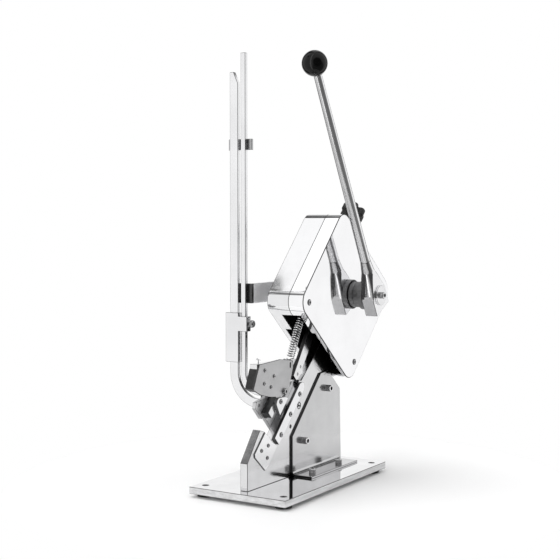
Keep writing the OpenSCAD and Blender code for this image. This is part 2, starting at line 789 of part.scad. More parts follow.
module adjuster_stud() {
    color("silver") drive_frame() translate([adjuster_x, adjuster_low - 30, adjuster_out]) rotate([-90, 0, 0])
        cylinder(h = 55, d = 8);
}

module adjuster_nut() {
    color("gray") drive_frame() translate([adjuster_x, adjuster_low - 5.5, adjuster_out]) rotate([-90, 0, 0]) difference() {
        cylinder(h = 10, d = 16, $fn = 6);
        translate([0, 0, -1]) cylinder(h = 12, d = 8.1);
    }
}

module adjuster_knob() {
    color("black") drive_frame() translate([adjuster_x, adjuster_low + 21, adjuster_out]) rotate([-90, 0, 0]) difference() {
        union() {
            cylinder(h = 8, d = 18);
            translate([0, 0, 5]) cylinder(h = 14, d = 30);
            for (a = [0 : 60 : 300]) rotate([0, 0, a]) translate([15, 0, 5]) cylinder(h = 14, d = 11);
        }
        translate([0, 0, -1]) cylinder(h = 5, d = 8);
    }
}

// ---- clip magazine -------------------------------------------------------------------------

// A rail: straight down, then a quarter bend of the given radii towards the channel
module rail(x0, x1, top) {
    outer_r = bend_x - x0;
    inner_r = bend_x - x1;
    translate([x0, rail_y0, bend_z]) cube([x1 - x0, rail_t, top - bend_z]);
    translate([bend_x, rail_y1, bend_z]) rotate([90, 0, 0]) intersection() {
        difference() {
            cylinder(h = rail_t, r = outer_r, $fn = 96);
            translate([0, 0, -1]) cylinder(h = rail_t + 2, r = inner_r, $fn = 96);
        }
        translate([-outer_r - 1, -outer_r - 1, -1]) cube([outer_r + 1, outer_r + 1, rail_t + 2]);
    }
    translate([bend_x - eps, rail_y0, bend_z - outer_r])
        cube([guide_back_x - bend_x + eps, rail_t, outer_r - inner_r]);
}

module outer_rail() {
    top = rail_top - 27;
    color("whitesmoke") difference() {
        rail(outer_x0, outer_x1, top);
        translate([0, rail_y0 - 1, 0]) rotate([90, 0, 0]) mirror([0, 0, 1]) linear_extrude(rail_t + 2)
            polygon([[outer_x0 + 6, top + 1], [outer_x1 + 1, top - 19], [outer_x1 + 1, top + 1]]);
        for (z = rail_bolt_z) rail_bolt_hole((outer_x0 + outer_x1) / 2, z);
    }
}

module inner_rail() {
    color("whitesmoke") difference() {
        rail(inner_x0, inner_x1, rail_top);
        for (z = rail_bolt_z) rail_bolt_hole((inner_x0 + inner_x1) / 2, z);
    }
}

arm_z = [269, 298];
clamp_z = [493.5, 509.5];
rail_bolt_z = [(arm_z[0] + arm_z[1]) / 2, (clamp_z[0] + clamp_z[1]) / 2];
arm_t = 5;
arm_x0 = -84;
arm_x1 = -46;
arm_bolts = [[25, 283.5], [62, 283.5]];

module rail_bolt_hole(x, z) {
    translate([x, rail_y0 + 2, z]) rotate([-90, 0, 0]) cylinder(h = 20, d = 4);
}

// The plate across the backs of the rails
module rail_plate() {
    color("gray") difference() {
        translate([arm_x0, rail_y1, arm_z[0]]) cube([arm_x1 - arm_x0, arm_t, arm_z[1] - arm_z[0]]);
        for (x = [outer_x0 + outer_x1, inner_x0 + inner_x1]) rail_bolt_hole(x / 2, rail_bolt_z[0]);
    }
}

// The arm from that plate back along the housing's side
module rail_arm() {
    color("silver") difference() {
        translate([arm_x1 - arm_t, rail_y1 + arm_t, arm_z[0]])
            cube([arm_t, 75 - rail_y1 - arm_t, arm_z[1] - arm_z[0]]);
        for (p = arm_bolts) bar_x(arm_x1 - arm_t - 1, arm_x1 + 1, p, 5);
    }
}

module arm_standoffs() {
    color("silver") for (p = arm_bolts) {
        difference() {
            bar_x(arm_x1, -half_w, p, 12);
            bar_x(arm_x1 - 1, -half_w + 1, p, 5);
        }
        cap_screw(arm_x1 - arm_t, p, 5, arm_t - arm_x1 - half_w + sheet_t + 4, -1);
    }
}

module rail_clamp() {
    color("silver") difference() {
        translate([-86, rail_y1, clamp_z[0]]) cube([39.8, arm_t, clamp_z[1] - clamp_z[0]]);
        for (x = [outer_x0 + outer_x1, inner_x0 + inner_x1]) rail_bolt_hole(x / 2, rail_bolt_z[1]);
    }
}

module rail_screws() {
    color("silver") for (x = [outer_x0 + outer_x1, inner_x0 + inner_x1], z = rail_bolt_z)
        translate([x / 2, rail_y0 + 2.2, z]) rotate([-90, 0, 0]) {
            cylinder(h = rail_t + arm_t - 2.2, d = 4);
            translate([0, 0, rail_t + arm_t - 2.2]) cylinder(h = 3, d = 7);
        }
}

follower_z = [182, 255];

// The weight that slides down the rails and pushes the clips along
module clip_follower() {
    x0 = outer_x0 - 5;
    x1 = outer_x1 + 3.4;
    y0 = rail_y0 - 4.8;
    color("whitesmoke") difference() {
        union() {
            translate([x0, y0, follower_z[0]]) cube([x1 - x0, rail_t + 4.6, follower_z[1] - follower_z[0]]);
            translate([x1 - eps, y0, 228]) cube([inner_x1 + 5.2 - x1, 4.6, 22]);
            translate([inner_x1 + 0.3, y0, 228]) cube([4.9, rail_t + 4.6, 22]);
        }
        translate([outer_x0 - 0.3, rail_y0 - 0.2, follower_z[0] - 1])
            cube([outer_rail_w + 0.6, rail_t + 6, follower_z[1] - follower_z[0] + 2]);
        translate([inner_x1, rail_y0 + 3, 239]) rotate([0, 90, 0]) cylinder(h = 10, d = 5.1);
    }
}

module follower_screw() {
    color("gray") translate([inner_x1 + 0.5, rail_y0 + 3, 239]) rotate([0, 90, 0]) {
        cylinder(h = 7, d = 5);
        translate([0, 0, 6.9]) cylinder(h = 5, d = 11);
    }
}

// ---- all nodes -----------------------------------------------------------------------------

base_plate();
rubber_feet();
bracket_right();
bracket_left();
foot_screws();
leg_screws();
jaw_plate();
die();
die_cover();
die_cover_screws();
guide_strip();
guide_strip_screws();
guide_back();
guide_front();
clip_cover();
clip_cover_screw();
clip_gate();
clip_stop();
rocker_plate();
rocker_block();
rocker_pad();
pad_pin();
rocker_screws();
rocker_pivot();
rocker_spring();
spring_post();
spring_hook();
housing_right();
housing_left();
tie_tubes();
housing_screws();
bearing_boss();
bearing_left();
lever_shaft();
shaft_collar();
pinion();
rack();
rack_guide();
driver_bar();
driver_screws();
punch();
punch_pin();
lever_block();
lever_rod();
lever_knob();
lever_washer();
lever_screw();
adjuster_knob();
adjuster_stud();
adjuster_nut();
outer_rail();
inner_rail();
rail_plate();
rail_arm();
arm_standoffs();
rail_clamp();
rail_screws();
clip_follower();
follower_screw();
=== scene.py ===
"""Looks of a bench clipping machine: materials, turned and knurled fasteners, the wire spring, the
ball and star knobs, and the rounded sheet edges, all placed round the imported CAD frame."""
import json
import math

import bmesh
import bpy
from mathutils import Matrix, Vector


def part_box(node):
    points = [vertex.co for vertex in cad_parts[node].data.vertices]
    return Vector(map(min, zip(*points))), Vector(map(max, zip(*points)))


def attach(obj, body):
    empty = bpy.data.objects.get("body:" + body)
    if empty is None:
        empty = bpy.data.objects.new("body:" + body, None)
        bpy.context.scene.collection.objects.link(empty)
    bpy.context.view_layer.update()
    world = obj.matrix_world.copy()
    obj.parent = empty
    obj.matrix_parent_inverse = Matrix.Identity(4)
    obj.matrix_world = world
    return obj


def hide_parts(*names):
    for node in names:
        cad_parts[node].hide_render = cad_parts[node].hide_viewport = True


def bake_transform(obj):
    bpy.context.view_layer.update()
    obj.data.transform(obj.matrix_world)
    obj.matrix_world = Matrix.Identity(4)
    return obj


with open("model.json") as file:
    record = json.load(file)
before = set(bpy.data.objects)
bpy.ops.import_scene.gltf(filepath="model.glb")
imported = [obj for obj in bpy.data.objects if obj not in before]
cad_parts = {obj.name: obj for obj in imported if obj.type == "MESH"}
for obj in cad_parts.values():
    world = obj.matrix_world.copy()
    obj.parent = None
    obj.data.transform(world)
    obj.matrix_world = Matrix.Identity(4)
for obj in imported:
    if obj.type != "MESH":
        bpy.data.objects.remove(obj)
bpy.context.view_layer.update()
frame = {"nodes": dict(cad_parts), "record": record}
NODES = frame["nodes"]
BODY = {n: b for b, ns in frame["record"]["behaviour"]["bodies"].items() for n in ns}
MM = 0.001
AXIS_X, AXIS_Z = (1, 0, 0), (0, 0, 1)

# ---- camera ----------------------------------------------------------------------------------

CAMERA_LENS = 74.7
CAMERA_PLACE = (0.8852, -1.4626, 0.3925)
# Degrees from straight down, and from the bearing of +Y
CAMERA_PITCH, CAMERA_TURN = 87.0, 31.79

camera = bpy.data.objects.new("camera", bpy.data.cameras.new("camera"))
bpy.context.scene.collection.objects.link(camera)
camera.data.lens = CAMERA_LENS
camera.data.clip_start = 0.05
camera.location = CAMERA_PLACE
camera.rotation_euler = (math.radians(CAMERA_PITCH), 0, math.radians(CAMERA_TURN))
bpy.context.scene.camera = camera

# ---- material nodes --------------------------------------------------------------------------


class Shader:
    """A node material under construction: one Principled BSDF and helpers that feed it."""

    def __init__(self, name, **uniform):
        self.material = bpy.data.materials.new(name)
        self.material.use_nodes = True
        self.nodes = self.material.node_tree.nodes
        self.links = self.material.node_tree.links
        self.bsdf = self.nodes["Principled BSDF"]
        self.position = self.nodes.new("ShaderNodeTexCoord").outputs["Object"]
        for socket, value in uniform.items():
            self.bsdf.inputs[socket.replace("_", " ")].default_value = value

    def add(self, kind, inputs=(), **settings):
        """Adds a node. inputs maps its sockets to plain values or to the sockets that feed them."""
        node = self.nodes.new(kind)
        for key, value in settings.items():
            setattr(node, key, value)
        for key, value in dict(inputs).items():
            if isinstance(value, bpy.types.NodeSocket):
                self.links.new(value, node.inputs[key])
            else:
                node.inputs[key].default_value = value
        return node

    def noise(self, size, stretch=(1, 1, 1), detail=3, roughness=0.55):
        """Noise whose features are about size metres across, drawn out along an axis by stretch."""
        scale = [1 / (size * s) for s in stretch]
        mapped = self.add("ShaderNodeMapping", {"Vector": self.position, "Scale": scale})
        made = self.add("ShaderNodeTexNoise", {"Vector": mapped.outputs[0], "Scale": 1.0, "Detail": detail,
                                               "Roughness": roughness})
        return made.outputs["Fac"]

    def remap(self, value, low, high, start=0.3, stop=0.7):
        """Spreads start to stop, where most of a noise lies, over low to high."""
        made = self.add("ShaderNodeMapRange", {"Value": value, "From Min": start, "From Max": stop,
                                               "To Min": low, "To Max": high})
        return made.outputs["Result"]

    def mix(self, factor, first, second):
        """The colour that runs from first to second with factor; either is a colour or a socket."""
        made = self.add("ShaderNodeMix", {0: factor}, data_type="RGBA")
        for socket, colour in ((made.inputs[6], first), (made.inputs[7], second)):
            if isinstance(colour, bpy.types.NodeSocket):
                self.links.new(colour, socket)
            else:
                socket.default_value = (*colour, 1)
        return made.outputs[2]

    def blend(self, factor, first, second):
        """A number that runs from first to second with factor."""
        made = self.add("ShaderNodeMix", {0: factor, 2: first, 3: second}, data_type="FLOAT")
        return made.outputs[0]

    def facing(self, axes):
        """1 on faces square to one of the marked axes, 0 on cut edges and bevels."""
        normal = self.add("ShaderNodeTexCoord").outputs["Normal"]
        size = self.add("ShaderNodeVectorMath", {0: normal}, operation="ABSOLUTE").outputs[0]
        kept = self.add("ShaderNodeVectorMath", {0: size, 1: axes}, operation="MULTIPLY").outputs[0]
        x, y, z = self.add("ShaderNodeSeparateXYZ", {0: kept}).outputs
        wider = self.add("ShaderNodeMath", {0: x, 1: y}, operation="MAXIMUM").outputs[0]
        widest = self.add("ShaderNodeMath", {0: wider, 1: z}, operation="MAXIMUM").outputs[0]
        return self.remap(widest, 0, 1, 0.93, 0.98)

    def bent_sheet(self):
        """1 on the faces of a sheet bent about Y, 0 on the edges it was cut along."""
        normal = self.add("ShaderNodeTexCoord").outputs["Normal"]
        across = self.add("ShaderNodeSeparateXYZ", {0: normal}).outputs[1]
        size = self.add("ShaderNodeMath", {0: across}, operation="ABSOLUTE").outputs[0]
        return self.remap(size, 1, 0, 0.12, 0.30)

    def feed(self, socket, value):
        """Links a value to a socket of the Principled BSDF."""
        self.links.new(value, self.bsdf.inputs[socket])

    def bump(self, layers):
        """Chains bump nodes over (height, strength, distance in metres)."""
        normal = None
        for height, strength, distance in layers:
            inputs = {"Height": height, "Strength": strength, "Distance": distance}
            if normal is not None:
                inputs["Normal"] = normal
            normal = self.add("ShaderNodeBump", inputs).outputs[0]
        self.feed("Normal", normal)


def grey(value, tint=0.01):
    """A steel grey, a little bluer than neutral."""
    return (value, value, value * (1 + tint))


def spread(shader, factor, tone):
    """A tone that wanders a fifth to either side of its value with factor."""
    return shader.mix(shader.remap(factor, 0, 1), grey(tone * 0.8), grey(tone * 1.2))


def steel(name, light, dark, rough, grain, scratch=0.05, polished=None, painted_edge_shade=0.06):
    """Metal from light to dark in soft clouds, rough from rough[0] to rough[1], with a grain drawn out
    along the axes by grain, and a few fine wipe marks. With polished, only the faces square to those
    axes look so; the cut edges between them have the given darker edge tone, a painted shade."""
    s = Shader(name, Metallic=1.0)
    clouds = s.noise(0.05, detail=2)
    tone = s.mix(s.remap(clouds, 0, 1), grey(dark), grey(light))
    lines = s.noise(0.0004, grain, detail=4)
    wipes = s.noise(0.012, (1, 4, 0.35), detail=5, roughness=0.7)
    smooth = s.remap(wipes, rough[0], rough[1], 0.35, 0.75)
    roughness = s.add("ShaderNodeMath", {0: smooth, 1: s.remap(lines, -0.02, 0.03)}).outputs[0]
    if polished:
        face = s.bent_sheet() if polished == BENT else s.facing(polished)
        # Faces off the polished axes take the darker edge tone: painted shade
        tone = s.mix(face, spread(s, wipes, painted_edge_shade), tone)
        roughness = s.blend(face, CUT_ROUGHNESS, roughness)
    s.feed("Base Color", tone)
    s.feed("Roughness", roughness)
    s.bump([(lines, scratch, 0.00004), (clouds, 0.02, 0.0004)])
    return s.material


def turned_steel(name, light, dark, rough, pitch=0.0006, flat=None):
    """Lathe-turned or ground bar: fine lines across every axis, darker where oil has stayed. With flat, the
    faces across X are milled flats painted in that lighter tone, a painted highlight."""
    s = Shader(name, Metallic=1.0)
    lines = s.noise(pitch, (6, 6, 1), detail=3)
    cross = s.noise(pitch, (1, 8, 8), detail=3)
    film = s.noise(0.02, (1, 1, 2), detail=4)
    tone = s.mix(s.remap(film, 0, 1), grey(dark), grey(light))
    if flat:
        # Faces across X, the flats and the sides of round parts that face X, are painted lighter: painted
        # highlight
        painted_flat_light = s.mix(s.remap(film, 0, 1), grey(flat * 0.94), grey(flat))
        tone = s.mix(s.facing(X_FACES), tone, painted_flat_light)
    s.feed("Base Color", tone)
    both = s.add("ShaderNodeMath", {0: lines, 1: cross}, operation="MULTIPLY").outputs[0]
    s.feed("Roughness", s.remap(both, rough[0], rough[1], 0.12, 0.45))
    s.bump([(both, 0.05, 0.00003)])
    return s.material


def blasted_steel(name, light, dark, rough, polished=None, painted_edge_shade=0.06):
    """Bead-blasted plate: an even matt speckle with faint handling marks; with polished, its cut edges have
    the given darker edge tone, a painted shade.
    """
    s = Shader(name, Metallic=0.85)
    speckle = s.noise(0.0005, detail=2)
    marks = s.noise(0.018, (1, 2, 1), detail=5)
    tone = s.mix(s.remap(marks, 0, 1), grey(dark), grey(light))
    if polished:
        # Faces off the polished axes take the darker edge tone: painted shade
        tone = s.mix(s.facing(polished), spread(s, marks, painted_edge_shade), tone)
    s.feed("Base Color", tone)
    s.feed("Roughness", s.remap(speckle, rough[0], rough[1]))
    s.bump([(speckle, 0.25, 0.00006)])
    return s.material


def black_polymer(name, tone, rough, ior, pebble, pebble_size):
    """Moulded black: pebble is the bump strength of its texture, ior sets how much it shines."""
    s = Shader(name, IOR=ior)
    mottle = s.noise(0.006, detail=4)
    grain = s.noise(pebble_size, detail=2)
    s.feed("Base Color", s.mix(s.remap(mottle, 0, 1), grey(tone * 0.6, 0), grey(tone * 1.5, 0)))
    s.feed("Roughness", s.remap(mottle, rough[0], rough[1]))
    s.bump([(grain, pebble, 0.00008)])
    return s.material


# Roughness of the cut edges of polished parts
CUT_ROUGHNESS = 0.34
# How far a ground grain is drawn out along each axis
ALONG_X, ALONG_Y, ALONG_Z = (40, 1, 1), (1, 40, 1), (1, 1, 40)
# The axes that polished faces are square to; BENT is a sheet bent about Y, polished on both sides
X_FACES, Z_FACES, ALL_FACES, BENT = AXIS_X, AXIS_Z, (1, 1, 1), (1, 0, 1)

SHEET_RIGHT = steel("right_sheet_steel", 0.95, 0.90, (0.03, 0.08), ALONG_Y, scratch=0.003)
# The left half is the same sheet steel as the right, painted darker: painted shade on that half
SHEET_LEFT_SHADED = steel("left_sheet_steel_painted_shade", 0.81, 0.76, (0.04, 0.10), ALONG_Y, scratch=0.003)
# The edge tones given below paint cut faces, bends and bevels darker than the polished faces: painted shade
BASE = steel("base_steel", 0.86, 0.78, (0.03, 0.09), ALONG_Y, scratch=0.01, polished=Z_FACES, painted_edge_shade=0.66)
RAIL = steel("rail_steel", 0.86, 0.79, (0.18, 0.28), ALONG_Z, scratch=0.10, polished=ALL_FACES, painted_edge_shade=0.30)
FOLLOWER = steel("follower_steel", 0.84, 0.77, (0.12, 0.22), ALONG_Z, scratch=0.06)
PLATE = steel("plate_steel", 0.73, 0.66, (0.10, 0.18), ALONG_Y, scratch=0.05)
COVER = steel("cover_steel", 0.86, 0.79, (0.10, 0.18), ALONG_Y, scratch=0.04, polished=X_FACES, painted_edge_shade=0.10)
BRACKET = steel("bracket_steel", 0.60, 0.53, (0.12, 0.20), ALONG_Z, scratch=0.06, polished=BENT, painted_edge_shade=0.04)
DRIVER = steel("driver_steel", 0.80, 0.72, (0.14, 0.24), ALONG_Y, scratch=0.06, polished=X_FACES)
ROCKER = blasted_steel("rocker_steel", 0.56, 0.47, (0.34, 0.44), polished=X_FACES, painted_edge_shade=0.05)
BACKING = blasted_steel("backing_steel", 0.90, 0.82, (0.38, 0.48), polished=X_FACES, painted_edge_shade=0.60)
BOSS = blasted_steel("boss_steel", 0.24, 0.20, (0.46, 0.54))
DARK = turned_steel("dark_steel", 0.17, 0.12, (0.26, 0.40))
ARM = blasted_steel("arm_steel", 0.97, 0.93, (0.50, 0.60))
CLAMP = steel("clamp_steel", 0.50, 0.42, (0.20, 0.30), ALONG_X, scratch=0.08)
# The plate behind the rails is painted near black: painted shade in the gaps between the rails
CROSS_PLATE_SHADE = steel("cross_plate_painted_shade", 0.085, 0.06, (0.20, 0.30), ALONG_X, scratch=0.08)
# The lever's faces across X are painted light by flat, the rest stays darker: painted highlight on one
# steel
LEVER = turned_steel("lever_steel", 0.56, 0.49, (0.13, 0.20), flat=0.88)
BLOCK = turned_steel("lever_block_steel", 0.52, 0.46, (0.10, 0.18), flat=0.88)
SCREW = turned_steel("screw_steel", 0.50, 0.38, (0.18, 0.32), pitch=0.0003)
# Screw steel painted in bands: a darker knurl and a near black socket as painted shade, a lighter top as a
# painted highlight
KNURL_SHADE = turned_steel("knurled_painted_shade", 0.36, 0.24, (0.24, 0.36), pitch=0.0003)
# Near black steel for the boss's groove and the inside of the spring coil: painted shade
GROOVE_SHADE = turned_steel("groove_painted_shade", 0.07, 0.04, (0.35, 0.45), pitch=0.0003)
SCREW_TOP_HIGHLIGHT = turned_steel("screw_end_painted_highlight", 0.80, 0.68, (0.16, 0.26), pitch=0.0003)
SOCKET_SHADE = turned_steel("socket_painted_shade", 0.035, 0.02, (0.45, 0.60), pitch=0.0003)
WIRE = turned_steel("wire_steel", 0.80, 0.66, (0.12, 0.22), pitch=0.0004)
# Near black steel for bevels and button-head rings: painted shade lines along the edges
EDGE_SHADE = blasted_steel("broken_edge_painted_shade", 0.12, 0.07, (0.30, 0.40))
INSIDE_SHADE = blasted_steel("housing_inside_painted_shade", 0.030, 0.020, (0.55, 0.7))
BALL = black_polymer("black_phenolic", 0.003, (0.08, 0.14), 1.30, 0.02, 0.003)
STAR = black_polymer("black_knob", 0.014, (0.30, 0.42), 1.40, 0.12, 0.0006)
NYLON = black_polymer("black_nylon", 0.018, (0.42, 0.55), 1.38, 0.20, 0.0005)
RUBBER = black_polymer("black_rubber", 0.030, (0.72, 0.86), 1.40, 0.35, 0.0007)

# The material of each kept CAD part
FINISH = {
    "base_plate": BASE, "bracket_right": BRACKET, "bracket_left": BRACKET,
    "jaw_plate": PLATE, "die": DARK, "die_cover": COVER, "guide_strip": COVER, "guide_back": BACKING,
    "guide_front": DRIVER, "clip_cover": COVER, "clip_gate": NYLON, "clip_stop": FOLLOWER,
    "rocker_plate": ROCKER, "rocker_block": FOLLOWER, "rocker_pad": NYLON, "spring_post": SCREW,
    "spring_hook": SCREW, "tie_tubes": DARK, "bearing_left": DARK, "lever_shaft": LEVER,
    "shaft_collar": DARK, "pinion": DARK, "rack": DARK, "rack_guide": DARK, "driver_bar": DRIVER,
    "punch": PLATE, "punch_pin": SCREW, "lever_block": BLOCK, "lever_rod": LEVER,
    "lever_washer": FOLLOWER, "adjuster_stud": SCREW, "adjuster_nut": DARK, "outer_rail": RAIL,
    "inner_rail": RAIL, "rail_plate": CROSS_PLATE_SHADE, "rail_arm": ARM, "rail_clamp": CLAMP,
    "clip_follower": FOLLOWER, "rail_screws": SCREW, "rocker_pivot": SCREW,
}
# Width of the broken edge on each kept CAD part, in millimetres; 0 leaves it sharp
EDGE = {"base_plate": 0.7, "jaw_plate": 0.7, "bracket_right": 0.5, "bracket_left": 0.5,
        "rail_plate": 0.4, "rail_clamp": 0.5, "lever_block": 0.6, "clip_follower": 0.5,
        "outer_rail": 0.6, "inner_rail": 0.6, "pinion": 0, "rack": 0, "punch": 0, "die": 0,
        "lever_rod": 0, "rail_screws": 0.2, "guide_front": 0}
EDGE_DEFAULT = 0.35
# Edges that bend more than this are sharp
SHARP = math.radians(32)
# The materials of a screw: shank, side of the head, top of the head, socket. The side is painted darker and
# the socket near black as painted shade, the top lighter as a painted highlight.
FASTENER = [SCREW, KNURL_SHADE, SCREW_TOP_HIGHLIGHT, SOCKET_SHADE]
# A button head: the near black edge steel on its dome's side is a painted shade ring
BUTTON = [KNURL_SHADE, EDGE_SHADE, SCREW, SOCKET_SHADE]

# ---- edge treatment --------------------------------------------------------------------------

# Corners closer than this, in metres, are one corner; faces that bend less than COPLANAR are one face
SAME_PLACE = 2e-6
COPLANAR = math.radians(0.3)


def geometry_group(name):
    """A geometry node group with one mesh in and one out, and its input and output nodes."""
    group = bpy.data.node_groups.new(name, "GeometryNodeTree")
    for side in ("INPUT", "OUTPUT"):
        group.interface.new_socket("Geometry", in_out=side, socket_type="NodeSocketGeometry")
    return group, group.nodes.new("NodeGroupInput"), group.nodes.new("NodeGroupOutput")


def joined_skin_group():
    """Merges a mesh's doubled corners and drops its stored normals, so that its edges can be bevelled."""
    group, start, end = geometry_group("joined_skin")
    merge = group.nodes.new("GeometryNodeMergeByDistance")
    merge.inputs["Distance"].default_value = SAME_PLACE
    drop = group.nodes.new("GeometryNodeRemoveAttribute")
    drop.inputs["Name"].default_value = "custom_normal"
    group.links.new(start.outputs[0], merge.inputs["Geometry"])
    group.links.new(merge.outputs["Geometry"], drop.inputs["Geometry"])
    group.links.new(drop.outputs["Geometry"], end.inputs[0])
    return group


def smooth_by_angle_group(limit):
    """Smooth faces whose edges stay sharp where they bend more than limit."""
    group, start, end = geometry_group("smooth_by_angle")
    faces = group.nodes.new("GeometryNodeSetShadeSmooth")
    edges = group.nodes.new("GeometryNodeSetShadeSmooth")
    edges.domain = "EDGE"
    angle = group.nodes.new("GeometryNodeInputMeshEdgeAngle")
    gentle = group.nodes.new("FunctionNodeCompare")
    gentle.operation = "LESS_THAN"
    gentle.inputs[1].default_value = limit
    group.links.new(angle.outputs[0], gentle.inputs[0])
    group.links.new(start.outputs[0], faces.inputs["Geometry"])
    group.links.new(faces.outputs[0], edges.inputs["Geometry"])
    group.links.new(gentle.outputs[0], edges.inputs["Shade Smooth"])
    group.links.new(edges.outputs[0], end.inputs[0])
    return group


JOINED_SKIN = joined_skin_group()
SMOOTH_BY_ANGLE = smooth_by_angle_group(SHARP)


def break_edges(obj, width, limit="ANGLE"):
    """Rounds an object's sharp edges with modifiers, width in millimetres, in the near black edge steel: a
    painted shade line along each edge. With limit WEIGHT, each edge's own bevel weight scales its width."""
    obj.modifiers.new("joined", "NODES").node_group = JOINED_SKIN
    flat = obj.modifiers.new("flat", "DECIMATE")
    flat.decimate_type = "DISSOLVE"
    flat.angle_limit = COPLANAR
    if width:
        # The bevel takes the near black edge steel: painted shade along the edge
        obj.data.materials.append(EDGE_SHADE)
        bevel = obj.modifiers.new("edge", "BEVEL")
        bevel.material = len(obj.data.materials) - 1
        bevel.width = width * MM
        bevel.segments = 2
        bevel.limit_method = limit
        bevel.angle_limit = SHARP
        bevel.use_clamp_overlap = False
    obj.modifiers.new("smooth", "NODES").node_group = SMOOTH_BY_ANGLE
    weighted = obj.modifiers.new("weighted", "WEIGHTED_NORMAL")
    weighted.keep_sharp = True
    weighted.weight = 100


# ---- mesh building ---------------------------------------------------------------------------


def stand_in(name, mesh, materials, node, rides=True):
    """Makes an object of a mesh that stands for a CAD node and, with rides, moves with its body."""
    mesh.shade_smooth()
    mesh.set_sharp_from_angle(angle=SHARP)
    for material in materials:
        mesh.materials.append(material)
    obj = bpy.data.objects.new(name, mesh)
    bpy.context.scene.collection.objects.link(obj)
    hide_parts(node)
    if rides:
        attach(obj, BODY[node])
    return obj


def piece(name, bm, materials, node):
    """Makes the object of bm that stands for a CAD node."""
    mesh = bpy.data.meshes.new(name)
    bmesh.ops.recalc_face_normals(bm, faces=bm.faces)
    bm.to_mesh(mesh)
    bm.free()
    return stand_in(name, mesh, materials, node)


def loft(bm, rings, matrix, steps=72, closed=False, slots=()):
    """Joins rings of (radius, height) round the local Z axis. A radius is a number or a function of the
    angle. With closed, the last ring joins the first, as round a bore. slots lists (ring, material index)
    pairs: the faces from that ring on have that material."""
    rows = []
    for radius, height in rings:
        row = []
        for i in range(steps):
            a = 2 * math.pi * i / steps
            r = radius(a) if callable(radius) else radius
            row.append(bm.verts.new(matrix @ Vector((r * math.cos(a), r * math.sin(a), height))))
        rows.append(row)
    pairs = list(zip(rows, rows[1:])) + ([(rows[-1], rows[0])] if closed else [])
    index = 0
    for ring, (low, high) in enumerate(pairs):
        index = dict(slots).get(ring, index)
        for i in range(steps):
            j = (i + 1) % steps
            bm.faces.new((low[i], low[j], high[j], high[i])).material_index = index
    if not closed:
        bm.faces.new(list(reversed(rows[0])))
        bm.faces.new(rows[-1]).material_index = index


def hexagon(across_flats):
    """A hexagon's radius, as a function of the angle."""
    def radius(a):
        return across_flats / 2 / math.cos((a + math.pi / 6) % (math.pi / 3) - math.pi / 6)
    return radius


def knurl(radius, depth, teeth):
    """A knurled circle's radius, as a function of the angle."""
    return lambda a: radius - depth * (0.5 + 0.5 * math.cos(teeth * a))


def standing(point, direction):
    """The matrix that stands local +Z along direction at point."""
    turn = Vector(direction).to_track_quat("Z", "Y").to_matrix().to_4x4()
    return Matrix.Translation(Vector(point)) @ turn


def centre_of(node):
    lo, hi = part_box(node)
    return (lo + hi) / 2


def islands(node):
    """The boxes of a CAD node's separate solids, lowest corner and highest corner."""
    bm = bmesh.new()
    bm.from_mesh(NODES[node].data)
    bmesh.ops.remove_doubles(bm, verts=bm.verts, dist=SAME_PLACE)
    left, found = set(bm.verts), []
    while left:
        stack, seen = [left.pop()], []
        while stack:
            v = stack.pop()
            seen.append(v.co.copy())
            near = {e.other_vert(v) for e in v.link_edges} & left
            left -= near
            stack.extend(near)
        found.append((Vector(min(c[i] for c in seen) for i in range(3)),
                      Vector(max(c[i] for c in seen) for i in range(3))))
    bm.free()
    return sorted(found, key=lambda box: tuple(box[0]))


def cap_screw(bm, matrix, d, head_h, shank):
    """A knurled socket-head screw, its seat at the local origin and its head along +Z."""
    r = d * 5 / 6
    rough = knurl(r, r * 0.055, 36)
    socket = hexagon(d * 0.85)
    loft(bm, [(d / 2 * 0.8, -shank), (d / 2, -shank + d * 0.12), (d / 2, -0.1 * MM), (r * 0.96, 0),
              (r, head_h * 0.04), (rough, head_h * 0.12), (rough, head_h * 0.80), (r * 0.97, head_h * 0.86),
              (r * 0.97, head_h * 0.93), (r * 0.90, head_h), (d * 0.52, head_h), (socket, head_h * 0.94),
              (socket, head_h * 0.42), (d * 0.1, head_h * 0.36)], matrix, slots=((4, 1), (7, 2), (10, 3)))


def button_screw(bm, matrix, d, head_r, head_h, shank):
    """A low button-head socket screw, its seat at the local origin."""
    socket = hexagon(d * 0.62)
    loft(bm, [(d / 2 * 0.8, -shank), (d / 2, -shank + d * 0.12), (d / 2, -0.05 * MM), (head_r * 0.96, 0),
              (head_r, head_h * 0.18), (head_r * 0.95, head_h * 0.52), (head_r * 0.80, head_h * 0.84),
              (head_r * 0.60, head_h), (d * 0.40, head_h), (socket, head_h * 0.90), (socket, head_h * 0.25),
              (d * 0.08, head_h * 0.15)], matrix, steps=48, slots=((3, 1), (6, 2), (8, 3)))


def nut(bm, matrix, across_flats, height, bore):
    """A hexagon nut with turned faces round its bore."""
    full, turned = hexagon(across_flats), across_flats / 2 * 1.02

    def trimmed(a):
        return min(full(a), turned)

    loft(bm, [(bore / 2, 0), (trimmed, 0), (full, height * 0.12), (full, height * 0.88), (trimmed, height),
              (bore / 2, height)], matrix, closed=True)


def button_screws(node, head_h):
    """Replaces a node of small screws that lie along X; each head is at the end that faces outwards."""
    bm = bmesh.new()
    boxes = islands(node)
    middle = sum((lo.x + hi.x) / 2 for lo, hi in boxes) / len(boxes)
    for lo, hi in boxes:
        centre = (lo + hi) / 2
        outward = 1 if node != "housing_screws" or centre.x > middle else -1
        seat = hi.x - head_h if outward > 0 else lo.x + head_h
        head_r = (hi.y - lo.y) / 2
        button_screw(bm, standing((seat, centre.y, centre.z), (outward, 0, 0)), head_r * 2 / 1.9, head_r,
                     head_h, hi.x - lo.x - head_h)
    piece(node + "_turned", bm, BUTTON, node)


# ---- kept CAD parts --------------------------------------------------------------------------

